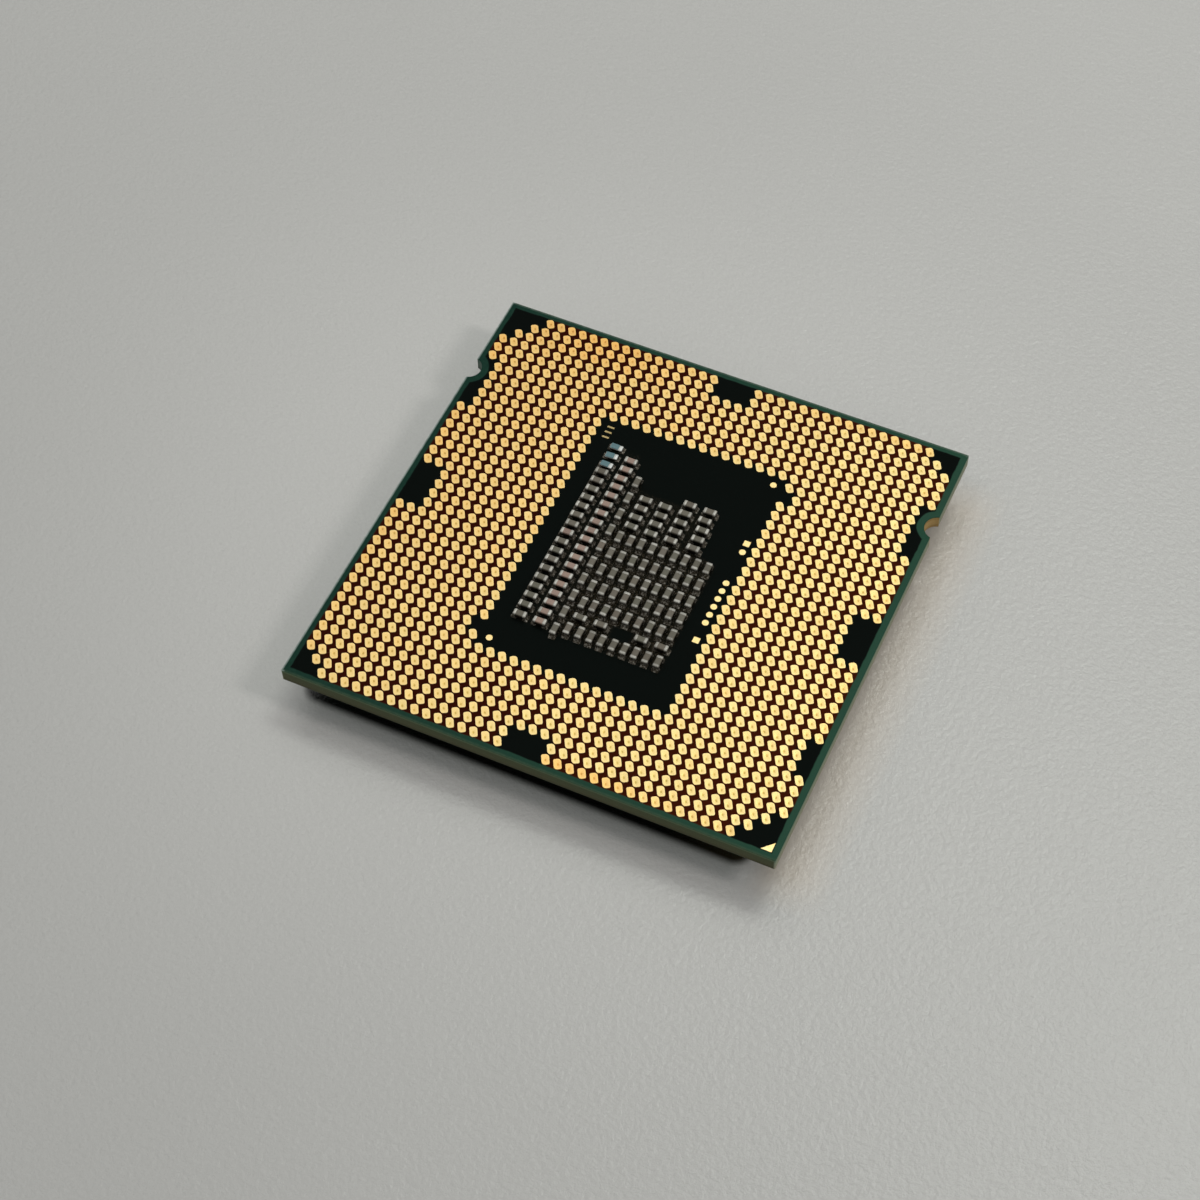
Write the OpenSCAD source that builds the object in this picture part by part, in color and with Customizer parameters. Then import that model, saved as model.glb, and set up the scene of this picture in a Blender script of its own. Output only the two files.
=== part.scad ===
// Land-grid processor package: a square laminate board that carries gold contact
// lands and small passive components on one side, and a flip-chip die under a
// stepped metal lid on the other. It lies lid down, lands up. The origin is the
// centre of the lid's flat outer face, X and Y run along the board's edges, and
// the two key notches are towards +Y.

/* [Board] */
// Side of the square laminate board
board_w = 37.5; // [37.2:0.1:38]
// Thickness of the board
board_t = 1.15; // [1:0.05:1.3]
// Flat broken off each corner of the board, along each edge
corner_nip = 0.05; // [0.03:0.01:0.3]

/* [Key notches] */
// Radius of the two half-round key notches
notch_r = 1; // [0.8:0.05:1.1]
// Distance of the notches from the board's middle, along Y
notch_y = 11.5; // [11.3:0.1:11.7]
// How far the centres of the notches lie outside the board's edge
notch_out = 0.25; // [0.2:0.05:0.5]

/* [Contact lands] */
// Spacing of the land grid, the same both ways
pitch = 0.9144; // [0.91:0.0002:0.918]
// Length of a land over its rounded ends
land_l = 0.88; // [0.7:0.01:0.88]
// Width of a land between its straight sides
land_w = 0.58; // [0.5:0.01:0.58]
// Turn of a land's long side from the X axis
land_turn = -60; // [-65:1:-55]
// How far the lands stand above the board
land_t = 0.03; // [0.02:0.005:0.05]

/* [Marks and test points] */
// Diameter of the round test points
dot_d = 0.5; // [0.4:0.02:0.56]
// Side of the square test points
dot_sq = 0.5; // [0.4:0.02:0.56]
// Leg of the corner triangle that marks the first land
tri_leg = 0.8; // [0.5:0.05:0.9]
// Thickness of the marks and test points
mark_t = 0.02; // [0.01:0.005:0.03]

/* [Chip components] */
// Length of a chip component over its metal ends
chip_l = 0.98; // [0.95:0.01:1.02]
// Width of a chip component
chip_w = 0.5; // [0.46:0.01:0.52]
// Height of a capacitor
cap_h = 0.5; // [0.4:0.01:0.55]
// Height of a resistor, with its coat
res_h = 0.26; // [0.22:0.01:0.34]
// Length of the metal band on each end of a chip
end_l = 0.24; // [0.18:0.01:0.26]
// Thickness of the metal on the ends
end_t = 0.02; // [0.01:0.005:0.03]
// Solder between a chip and the board
solder_t = 0.05; // [0.03:0.005:0.06]
// How far a solder fillet runs out from a chip's end
fillet_l = 0.18; // [0.1:0.01:0.2]

// Thickness of a resistor's coat
coat_t = 0.03; // [0.02:0.005:0.04]
// How far the coat laps over one metal end
coat_lap = 0.2; // [0.05:0.01:0.22]
// How far the coat stops short of the other metal end
coat_short = 0.05; // [0.01:0.01:0.1]

/* [Lid] */
// Overall height of the lid
lid_h = 3.05; // [2.95:0.05:3.3]
// Height of the raised plateau above the flange
lid_step = 1.2; // [1:0.05:1.3]
// Width of the lid over its two side ears, along X
lid_ear_w = 34; // [33:0.1:34.5]
// Length of the ears, along Y
lid_ear_l = 21; // [18:0.5:24]
// Width of the flange between the ears, along X
lid_w = 31; // [30.5:0.1:31.6]
// Length of the flange, along Y
lid_l = 31.4; // [31:0.1:33]
// Width of the plateau, along X
top_w = 28.2; // [28:0.1:29.4]
// Length of the plateau, along Y
top_l = 29; // [28.6:0.1:29.8]
// Chamfer round the plateau
top_chamfer = 0.25; // [0.1:0.05:0.4]
// Side of the square hollow over the die
hollow_w = 26; // [24:0.2:26.4]

/* [Die] */
// Width of the die, along X
die_w = 9.4; // [8:0.1:11]
// Length of the die, along Y
die_l = 14; // [12:0.1:16]
// Thickness of the die
die_t = 0.77; // [0.7:0.01:0.8]
// Height of the solder bumps under the die
bump_h = 0.08; // [0.06:0.01:0.1]
// Diameter of a solder bump
bump_d = 0.16; // [0.1:0.01:0.2]
// Spacing of the solder bumps
bump_p = 0.5; // [0.5:0.05:0.8]
// Thickness of the metal thermal joint between die and lid
tim_t = 0.35; // [0.2:0.05:0.4]
// Thickness of the seal under the lid's flange
seal_t = 0.1; // [0.08:0.01:0.15]

/* [Hidden] */
$fn = 48;
z_board = lid_h + seal_t;            // lid-side face of the board
z_top = z_board + board_t;           // land-side face of the board
z_die = z_board - bump_h - die_t;    // back of the die
z_hollow = z_die - tim_t;            // ceiling of the lid's hollow
n = 40;                              // lands along each side of the full grid

// Cells of the grid with no land: first and last column, first and last row,
// counted from the -X and the +Y side.
EMPTY = [
    [12, 27, 8, 31], [28, 28, 9, 9], [11, 11, 30, 30],   // window
    [0, 2, 0, 0], [0, 1, 1, 1], [0, 0, 2, 2],            // corners
    [38, 39, 0, 0], [39, 39, 1, 1],
    [0, 0, 38, 38], [0, 1, 39, 39],
    [39, 39, 37, 37], [38, 39, 38, 38], [37, 39, 39, 39],
    [19, 21, 0, 1], [18, 20, 38, 39],                    // middle of the edges
    [0, 1, 18, 21], [38, 39, 18, 21],
    [0, 0, 6, 10], [39, 39, 6, 10],                      // beside the notches
    [39, 39, 30, 32]
];
function in_cells(i, j, b) = i >= b[0] && i <= b[1] && j >= b[2] && j <= b[3];
function has_land(i, j) = len([for (b = EMPTY) if (in_cells(i, j, b)) 1]) == 0;

// Chip places on the board, each [x, y, turn].
row_p = 0.87;    // rows of chips that lie along X
col_p = 1.57;    // their columns
stand_p = 1.58;  // rows of chips that lie along Y
core_p = 0.867;  // columns of the core block
RESISTORS = [for (k = [0:2]) [-5.355, 8.735 - k * row_p, 0]];
LEFT = [for (k = [3:19]) [-5.345, 8.725 - k * row_p, 0]];
TAN = [for (k = [1:19]) [-3.775, 8.705 - k * row_p, 0]];
SPINE = [for (k = [0:9]) [-2.55, 6.21 - k * stand_p, 90]];
UPPER = [for (k = [0:4]) for (m = [0:3]) if (k > 0 || m > 1)
    [-1.305 + m * col_p + (m == 3 && k > 1 ? 0.18 : 0), 5.87 - k * row_p, 0]];
CORE = [for (k = [0:5]) for (m = [0:8])
    [-1.67 + m * core_p, k < 5 ? 1.15 - k * stand_p : -7.625, 90]];
CROSS = [for (m = [0, 1, 3, 4]) [-1.3 + m * col_p, -6.377, 0]];

// ---- shared shapes ----

module rounded(l, w, r) {
    square([l, w - 2 * r], center = true);
    square([l - 2 * r, w], center = true);
    for (x = [-1, 1], y = [-1, 1])
        translate([x * (l / 2 - r), y * (w / 2 - r)]) circle(r = r);
}

module outline_board() {
    difference() {
        square(board_w, center = true);
        for (s = [-1, 1])
            translate([s * (board_w / 2 + notch_out), notch_y]) circle(r = notch_r);
        for (x = [-1, 1], y = [-1, 1])
            translate([x * board_w / 2, y * board_w / 2])
                rotate(45) square(corner_nip * sqrt(2), center = true);
    }
}

// A bar along X whose section has its two lower corners chamfered.
module chamfered_bar(len, w, h, c) {
    rotate([90, 0, 90]) translate([0, 0, -len / 2]) linear_extrude(len)
        polygon([[-w / 2 + c, 0], [w / 2 - c, 0], [w / 2, c],
                 [w / 2, h], [-w / 2, h], [-w / 2, c]]);
}

module at(places) {
    for (p = places) translate([p[0], p[1], z_top]) rotate(p[2]) children();
}

// Ceramic block of a chip that is h high, inside its metal ends.
module chip_block(h) {
    translate([-chip_l / 2 + end_t, -chip_w / 2 + end_t, solder_t + end_t])
        cube([chip_l - 2 * end_t, chip_w - 2 * end_t, h - 2 * end_t]);
}

// The two metal ends, each a five-sided cup over the block.
module chip_ends(h) {
    for (s = [0, 1]) mirror([s, 0, 0])
        difference() {
            translate([chip_l / 2 - end_l, -chip_w / 2, solder_t])
                cube([end_l, chip_w, h]);
            chip_block(h);
        }
}

// The two solder joints, each a layer under the end with a hollow fillet outside it.
module chip_solder(h) {
    rise = h * 0.5;
    for (s = [0, 1]) mirror([s, 0, 0])
        translate([0, chip_w / 2, 0]) rotate([90, 0, 0]) linear_extrude(chip_w) {
            translate([chip_l / 2 - end_l, 0]) square([end_l + fillet_l, solder_t]);
            translate([chip_l / 2, 0]) difference() {
                square([fillet_l, solder_t + min(rise, fillet_l)]);
                translate([fillet_l, solder_t + min(rise, fillet_l)])
                    circle(r = min(rise, fillet_l));
            }
        }
}

// ---- board and its marks ----

module substrate() {
    color([0.05, 0.2, 0.16])
        translate([0, 0, z_board]) linear_extrude(board_t) outline_board();
}

// A land: a disc cut off straight along its two long sides.
module land() {
    intersection() {
        circle(d = land_l);
        square([land_l + 1, land_w], center = true);
    }
}

module contact_lands() {
    color([0.93, 0.76, 0.4])
        for (j = [0:n - 1]) for (i = [0:n - 1]) if (has_land(i, j))
            translate([(i - (n - 1) / 2) * pitch, ((n - 1) / 2 - j) * pitch, z_top])
                rotate(land_turn) linear_extrude(land_t) land();
}

module test_points() {
    color([0.93, 0.76, 0.4]) translate([0, 0, z_top]) {
        for (y = [3.78, for (k = [0:5]) 0.78 - k * 0.75])
            translate([6.87, y, 0]) cylinder(d = dot_d, h = mark_t);
        for (y = [4.6, -4.6])
            translate([6.87, y, 0]) linear_extrude(mark_t) square(dot_sq, center = true);
        for (s = [-1, 1])
            translate([s * 6.58, s * 10.33, 0]) cylinder(d = dot_d, h = mark_t);
    }
}

module corner_triangle(leg) {
    e = board_w / 2 - 0.5;
    linear_extrude(mark_t) polygon([[e, -e], [e, -e + leg], [e - leg, -e]]);
}

module first_land_mark() {
    color([0.95, 0.82, 0.5]) translate([0, 0, z_top]) corner_triangle(tri_leg);
}

module index_bars() {
    color([0.85, 0.72, 0.45])
        for (k = [-1, 0, 1])
            translate([-6.6, 9.95 + k * 0.5, z_top])
                linear_extrude(mark_t) square([0.56, 0.16], center = true);
}

module lid_side_mark() {
    color([0.95, 0.82, 0.5])
        translate([0, 0, z_board - mark_t]) corner_triangle(tri_leg);
}

// ---- lid, seal, die ----

module outline_lid() {
    rounded(lid_w, lid_l, 1.2);
    rounded(lid_ear_w, lid_ear_l, 0.8);
}

module heat_spreader() {
    color([0.72, 0.71, 0.68]) difference() {
        union() {
            translate([0, 0, lid_step]) linear_extrude(lid_h - lid_step) outline_lid();
            intersection() {
                linear_extrude(lid_step + 0.2) rounded(top_w, top_l, 1.4);
                chamfered_bar(top_w + 2, top_l, lid_step + 0.2, top_chamfer);
                rotate(90) chamfered_bar(top_l + 2, top_w, lid_step + 0.2, top_chamfer);
            }
        }
        translate([0, 0, z_hollow])
            linear_extrude(lid_h - z_hollow + 1) rounded(hollow_w, hollow_w, 2);
    }
}

module lid_seal() {
    color([0.06, 0.06, 0.06]) translate([0, 0, lid_h]) linear_extrude(seal_t)
        difference() {
            rounded(lid_w - 1.4, lid_l - 1.4, 1);
            rounded(hollow_w + 1.6, hollow_w + 1.6, 1.5);
            // vent
            translate([9, -lid_l / 2]) square([3, 8], center = true);
        }
}

module thermal_joint() {
    color([0.6, 0.6, 0.63]) translate([-die_w / 2, -die_l / 2, z_hollow])
        cube([die_w, die_l, tim_t]);
}

module silicon_die() {
    color([0.3, 0.31, 0.35]) translate([-die_w / 2, -die_l / 2, z_die])
        cube([die_w, die_l, die_t]);
}

module bump_field() {
    nx = floor((die_w - 0.6) / bump_p);
    ny = floor((die_l - 0.6) / bump_p);
    for (j = [0:ny]) for (i = [0:nx])
        translate([(i - nx / 2) * bump_p, (j - ny / 2) * bump_p]) children();
}

module die_bumps() {
    color([0.7, 0.7, 0.72]) translate([0, 0, z_board - bump_h])
        bump_field() cylinder(d = bump_d, h = bump_h);
}

// Resin that fills the gap between the bumps and stands in a low bank round the die.
module underfill() {
    color([0.1, 0.09, 0.08]) {
        translate([0, 0, z_board - bump_h]) linear_extrude(bump_h) difference() {
            square([die_w + 1.2, die_l + 1.2], center = true);
            bump_field() circle(d = bump_d);
        }
        translate([0, 0, z_board - bump_h - 0.4]) linear_extrude(0.4) difference() {
            square([die_w + 0.6, die_l + 0.6], center = true);
            square([die_w, die_l], center = true);
        }
    }
}

// ---- resistors ----

module resistor_bodies() {
    color([0.88, 0.88, 0.86]) at(RESISTORS) chip_block(res_h - coat_t);
}
// The coat sits off centre: it laps over the top of one end and stops short of the other.
module resistor_coats() {
    inner = -chip_l / 2 + end_l;
    color([0.38, 0.56, 0.66]) at(RESISTORS) {
        translate([inner, -chip_w / 2 + end_t, solder_t + res_h - coat_t - end_t])
            cube([-inner - coat_short - inner, chip_w - 2 * end_t, coat_t + end_t]);
        translate([inner - coat_lap, -chip_w / 2 + end_t, solder_t + res_h - coat_t])
            cube([coat_lap, chip_w - 2 * end_t, coat_t]);
    }
}
module resistor_ends() {
    color([0.85, 0.85, 0.85]) at(RESISTORS) chip_ends(res_h - coat_t);
}
module resistor_solder() {
    color([0.7, 0.7, 0.7]) at(RESISTORS) chip_solder(res_h - coat_t);
}

// ---- capacitors, bank by bank ----

GREY = [0.47, 0.44, 0.39];
ROSE = [0.65, 0.53, 0.49];
TIN = [0.72, 0.7, 0.66];
LEAD = [0.6, 0.59, 0.57];

module left_column_bodies() { color(GREY) at(LEFT) chip_block(cap_h); }
module left_column_ends() { color(TIN) at(LEFT) chip_ends(cap_h); }
module left_column_solder() { color(LEAD) at(LEFT) chip_solder(cap_h); }

module tan_column_bodies() { color(ROSE) at(TAN) chip_block(cap_h); }
module tan_column_ends() { color(TIN) at(TAN) chip_ends(cap_h); }
module tan_column_solder() { color(LEAD) at(TAN) chip_solder(cap_h); }

module spine_column_bodies() { color(GREY) at(SPINE) chip_block(cap_h); }
module spine_column_ends() { color(TIN) at(SPINE) chip_ends(cap_h); }
module spine_column_solder() { color(LEAD) at(SPINE) chip_solder(cap_h); }

module upper_block_bodies() { color(GREY) at(UPPER) chip_block(cap_h); }
module upper_block_ends() { color(TIN) at(UPPER) chip_ends(cap_h); }
module upper_block_solder() { color(LEAD) at(UPPER) chip_solder(cap_h); }

module core_block_bodies() { color(GREY) at(CORE) chip_block(cap_h); }
module core_block_ends() { color(TIN) at(CORE) chip_ends(cap_h); }
module core_block_solder() { color(LEAD) at(CORE) chip_solder(cap_h); }

module cross_row_bodies() { color(GREY) at(CROSS) chip_block(cap_h); }
module cross_row_ends() { color(TIN) at(CROSS) chip_ends(cap_h); }
module cross_row_solder() { color(LEAD) at(CROSS) chip_solder(cap_h); }

substrate();
contact_lands();
test_points();
first_land_mark();
index_bars();
lid_side_mark();
heat_spreader();
lid_seal();
thermal_joint();
silicon_die();
die_bumps();
underfill();
resistor_bodies();
resistor_coats();
resistor_ends();
resistor_solder();
left_column_bodies();
left_column_ends();
left_column_solder();
tan_column_bodies();
tan_column_ends();
tan_column_solder();
spine_column_bodies();
spine_column_ends();
spine_column_solder();
upper_block_bodies();
upper_block_ends();
upper_block_solder();
core_block_bodies();
core_block_ends();
core_block_solder();
cross_row_bodies();
cross_row_ends();
cross_row_solder();
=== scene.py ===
import math
import random

import bmesh
import bpy
from mathutils import Matrix, Vector


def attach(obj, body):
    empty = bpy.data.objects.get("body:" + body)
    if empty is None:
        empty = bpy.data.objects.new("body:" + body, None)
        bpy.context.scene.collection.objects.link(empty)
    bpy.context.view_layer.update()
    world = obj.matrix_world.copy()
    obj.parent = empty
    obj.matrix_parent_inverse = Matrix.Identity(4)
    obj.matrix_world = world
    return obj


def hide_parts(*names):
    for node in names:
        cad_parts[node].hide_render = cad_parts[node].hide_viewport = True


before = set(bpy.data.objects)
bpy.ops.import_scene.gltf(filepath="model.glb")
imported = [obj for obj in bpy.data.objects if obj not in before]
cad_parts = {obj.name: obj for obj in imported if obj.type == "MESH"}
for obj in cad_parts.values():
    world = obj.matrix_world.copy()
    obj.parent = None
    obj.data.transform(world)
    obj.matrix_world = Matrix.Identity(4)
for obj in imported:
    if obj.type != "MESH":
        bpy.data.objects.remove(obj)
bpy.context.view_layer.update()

scene = bpy.context.scene
MM = 0.001

# ------------------------------------------------------------------ sizes, in mm
BOARD_W, BOARD_T = 37.5, 1.15
NIP = 0.05
NOTCH_R, NOTCH_Y, NOTCH_X = 1.0, 11.5, 19.0
PITCH, N = 0.9144, 40
LAND_L, LAND_W, LAND_TURN, LAND_T = 0.87, 0.58, -60.0, 0.03
MARK_T = 0.02
CHIP_L, CHIP_W, CAP_H, RES_H = 0.98, 0.5, 0.5, 0.26
END_L, END_T, SOLDER_T, FILLET_L = 0.24, 0.02, 0.05, 0.18
COAT_T, COAT_LAP, COAT_SHORT = 0.03, 0.2, 0.05
LID_H, LID_STEP = 3.05, 1.2
Z_BOARD = 3.15
Z_TOP = Z_BOARD + BOARD_T
Z_HOLLOW = 1.95
EDGE = BOARD_W / 2 - 0.5

EMPTY = [
    (12, 27, 8, 31), (28, 28, 9, 9), (11, 11, 30, 30),
    (0, 2, 0, 0), (0, 1, 1, 1), (0, 0, 2, 2),
    (38, 39, 0, 0), (39, 39, 1, 1),
    (0, 0, 38, 38), (0, 1, 39, 39),
    (39, 39, 37, 37), (38, 39, 38, 38), (37, 39, 39, 39),
    (19, 21, 0, 1), (18, 20, 38, 39),
    (0, 1, 18, 21), (38, 39, 18, 21),
    (0, 0, 6, 10), (39, 39, 6, 10),
    (39, 39, 30, 32),
]


def has_land(i, j):
    if not (0 <= i < N and 0 <= j < N):
        return False
    return not any(a <= i <= b and c <= j <= d for a, b, c, d in EMPTY)


ROW_P, COL_P, STAND_P, CORE_P = 0.87, 1.57, 1.58, 0.867
RESISTORS = [(-5.355, 8.735 - k * ROW_P, 0) for k in range(3)]
LEFT = [(-5.345, 8.725 - k * ROW_P, 0) for k in range(3, 20)]
TAN = [(-3.775, 8.705 - k * ROW_P, 0) for k in range(1, 20)]
SPINE = [(-2.55, 6.21 - k * STAND_P, 90) for k in range(10)]
UPPER = [
    (-1.305 + m * COL_P + (0.18 if m == 3 and k > 1 else 0), 5.87 - k * ROW_P, 0)
    for k in range(5)
    for m in range(4)
    if k > 0 or m > 1
]
CORE = [
    (-1.67 + m * CORE_P, 1.15 - k * STAND_P if k < 5 else -7.625, 90)
    for k in range(6)
    for m in range(9)
]
CROSS = [(-1.3 + m * COL_P, -6.377, 0) for m in (0, 1, 3, 4)]


# ------------------------------------------------------------------ material nodes
class Mat:
    """A Principled material and short names for the nodes that feed it."""

    def __init__(self, name, base=(0.5, 0.5, 0.5), rough=0.5, metal=0.0, spec=0.5):
        self.m = bpy.data.materials.new(name)
        self.m.use_nodes = True
        self.nt = self.m.node_tree
        self.nt.nodes.clear()
        out = self.nt.nodes.new("ShaderNodeOutputMaterial")
        self.p = self.nt.nodes.new("ShaderNodeBsdfPrincipled")
        self.nt.links.new(self.p.outputs[0], out.inputs["Surface"])
        self.p.inputs["Base Color"].default_value = (*base, 1)
        self.p.inputs["Roughness"].default_value = rough
        self.p.inputs["Metallic"].default_value = metal
        self.p.inputs["Specular IOR Level"].default_value = spec
        self._co = None

    def put(self, socket, value):
        if isinstance(value, bpy.types.NodeSocket):
            self.nt.links.new(value, socket)
        elif isinstance(value, tuple) and socket.type == "RGBA":
            socket.default_value = (*value[:3], 1)
        else:
            socket.default_value = value

    def set(self, name, value):
        self.put(self.p.inputs[name], value)

    def co(self):
        """Object coordinates in millimetres."""
        if self._co is None:
            t = self.nt.nodes.new("ShaderNodeTexCoord")
            s = self.nt.nodes.new("ShaderNodeVectorMath")
            s.operation = "SCALE"
            self.nt.links.new(t.outputs["Object"], s.inputs[0])
            s.inputs["Scale"].default_value = 1000.0
            self._co = s.outputs[0]
        return self._co

    def xyz(self, vec=None):
        n = self.nt.nodes.new("ShaderNodeSeparateXYZ")
        self.put(n.inputs[0], vec or self.co())
        return n.outputs

    def stretch(self, x, y, z, turn=0.0):
        n = self.nt.nodes.new("ShaderNodeMapping")
        self.put(n.inputs["Vector"], self.co())
        n.inputs["Rotation"].default_value = (0, 0, math.radians(turn))
        n.inputs["Scale"].default_value = (x, y, z)
        return n.outputs[0]

    def math(self, op, a, b=None, c=None, clamp=False):
        n = self.nt.nodes.new("ShaderNodeMath")
        n.operation = op
        n.use_clamp = clamp
        for s, v in zip(n.inputs, (a, b, c)):
            if v is not None:
                self.put(s, v)
        return n.outputs[0]

    def noise(self, scale, detail=3.0, rough=0.5, vec=None, distortion=0.0):
        n = self.nt.nodes.new("ShaderNodeTexNoise")
        self.put(n.inputs["Vector"], vec or self.co())
        n.inputs["Scale"].default_value = scale
        n.inputs["Detail"].default_value = detail
        n.inputs["Roughness"].default_value = rough
        n.inputs["Distortion"].default_value = distortion
        return n.outputs["Fac"]

    def cells(self, scale, feature="F1", out="Distance", vec=None, rand=1.0):
        n = self.nt.nodes.new("ShaderNodeTexVoronoi")
        n.feature = feature
        self.put(n.inputs["Vector"], vec or self.co())
        n.inputs["Scale"].default_value = scale
        n.inputs["Randomness"].default_value = rand
        return n.outputs[out]

    def span(self, value, lo, hi, to_lo=0.0, to_hi=1.0, smooth=False):
        n = self.nt.nodes.new("ShaderNodeMapRange")
        n.interpolation_type = "SMOOTHSTEP" if smooth else "LINEAR"
        n.clamp = True
        self.put(n.inputs["Value"], value)
        for k, v in (("From Min", lo), ("From Max", hi), ("To Min", to_lo), ("To Max", to_hi)):
            n.inputs[k].default_value = v
        return n.outputs[0]

    def mix(self, fac, a, b, how="MIX"):
        n = self.nt.nodes.new("ShaderNodeMix")
        n.data_type = "RGBA"
        n.blend_type = how
        n.clamp_factor = True
        self.put(n.inputs["Factor"], fac)
        self.put(n.inputs[6], a)
        self.put(n.inputs[7], b)
        return n.outputs[2]

    def ramp(self, fac, stops):
        n = self.nt.nodes.new("ShaderNodeValToRGB")
        e = n.color_ramp.elements
        while len(e) < len(stops):
            e.new(0.5)
        for s, (at, col) in zip(e, stops):
            s.position = at
            s.color = (*col, 1)
        self.put(n.inputs[0], fac)
        return n.outputs[0]

    def attr(self, name):
        n = self.nt.nodes.new("ShaderNodeAttribute")
        n.attribute_name = name
        s = self.nt.nodes.new("ShaderNodeSeparateColor")
        self.nt.links.new(n.outputs["Color"], s.inputs[0])
        return s.outputs

    def bump(self, height, distance_mm, strength=1.0, under=None):
        n = self.nt.nodes.new("ShaderNodeBump")
        n.inputs["Strength"].default_value = strength
        n.inputs["Distance"].default_value = distance_mm * MM
        self.put(n.inputs["Height"], height)
        if under is not None:
            self.put(n.inputs["Normal"], under)
        return n.outputs[0]


# ------------------------------------------------------------------ mesh building
class Builder:
    """Collects rings of points, and the bands and caps between them, in mm."""

    def __init__(self):
        self.v, self.f, self.m, self.tag = [], [], [], []
        self.now = (0.0, 0.0, 0.0)
        self.place = None

    def point(self, x, y, z, tag=None):
        p = Vector((x, y, z))
        if self.place is not None:
            p = self.place @ p
        self.v.append(tuple(c * MM for c in p))
        self.tag.append(tag or self.now)
        return len(self.v) - 1

    def ring(self, pts, z, tag=None):
        return [self.point(x, y, z, tag) for x, y in pts]

    def ring_x(self, x, pts, tag=None):
        """A ring across the X axis, from points (y, z)."""
        return [self.point(x, y, z, tag) for y, z in pts]

    def face(self, ids, mat=0):
        self.f.append(tuple(ids))
        self.m.append(mat)

    def band(self, a, b, mat=0):
        n = len(a)
        for i in range(n):
            self.face((a[i], a[(i + 1) % n], b[(i + 1) % n], b[i]), mat)

    def fan(self, ring, centre, mat=0):
        n = len(ring)
        for i in range(n):
            self.face((ring[i], ring[(i + 1) % n], centre), mat)

    def cap(self, ring, mat=0, flip=False):
        self.face(reversed(ring) if flip else ring, mat)

    def between(self, outer, inner, mat=0, flip=False):
        """A flat face from an outer ring to an inner one with another count of points."""
        n, m = len(outer), len(inner)
        def angle(i):
            return math.atan2(self.v[i][1], self.v[i][0])
        k = min(range(m), key=lambda q: abs(angle(inner[q]) - angle(outer[0])))
        inner = inner[k:] + inner[:k]
        def turned(ids):
            base, last, out = angle(ids[0]), 0.0, []
            for i in list(ids) + [ids[0]]:
                a = (angle(i) - base) % (2 * math.pi)
                if a < last - 1.0:
                    a += 2 * math.pi
                last = a
                out.append(a)
            out[0], out[-1] = 0.0, 2 * math.pi
            return out
        ao, ai = turned(outer), turned(inner)
        i = j = 0
        while i < n or j < m:
            if j >= m or (i < n and ao[i + 1] <= ai[j + 1]):
                t = (outer[i % n], outer[(i + 1) % n], inner[j % m])
                i += 1
            else:
                t = (outer[i % n], inner[(j + 1) % m], inner[j % m])
                j += 1
            self.face(reversed(t) if flip else t, mat)

    def mesh(self, name, mats, smooth=35.0, attr=None):
        me = bpy.data.meshes.new(name)
        me.from_pydata(self.v, [], self.f)
        for m in mats:
            me.materials.append(m.m)
        me.polygons.foreach_set("material_index", self.m)
        if attr:
            a = me.color_attributes.new(attr, "FLOAT_COLOR", "POINT")
            flat = []
            for t in self.tag:
                flat += [t[0], t[1], t[2], 1.0]
            a.data.foreach_set("color", flat)
        finish_mesh(me, smooth)
        return me


def finish_mesh(me, smooth):
    me.validate()
    me.polygons.foreach_set("use_smooth", [True] * len(me.polygons))
    me.set_sharp_from_angle(angle=math.radians(smooth))
    me.update()


def piece(name, me, slot, *nodes):
    ob = bpy.data.objects.new(name, me)
    scene.collection.objects.link(ob)
    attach(ob, "root")
    if nodes:
        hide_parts(*nodes)
    return ob


def arc(cx, cy, r, a0, a1, seg):
    return [
        (cx + r * math.cos(math.radians(a0 + (a1 - a0) * k / seg)),
         cy + r * math.sin(math.radians(a0 + (a1 - a0) * k / seg)))
        for k in range(seg + 1)
    ]


def rounded(l, w, r, seg):
    x, y = l / 2 - r, w / 2 - r
    return (arc(x, y, r, 0, 90, seg) + arc(-x, y, r, 90, 180, seg)
            + arc(-x, -y, r, 180, 270, seg) + arc(x, -y, r, 270, 360, seg))


def inset(pts, d):
    """Moves each side of an anticlockwise outline inwards by d."""
    out = []
    n = len(pts)
    for i in range(n):
        p, q, r = Vector(pts[i - 1]), Vector(pts[i]), Vector(pts[(i + 1) % n])
        a, b = (q - p).normalized(), (r - q).normalized()
        na, nb = Vector((-a.y, a.x)), Vector((-b.y, b.x))
        k = na + nb
        s = max(1 + na.dot(nb), 0.3)
        out.append(tuple(q + k * (d / s)))
    return out


def turned(pts, deg, cx=0.0, cy=0.0):
    c, s = math.cos(math.radians(deg)), math.sin(math.radians(deg))
    return [(cx + x * c - y * s, cy + x * s + y * c) for x, y in pts]


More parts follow.
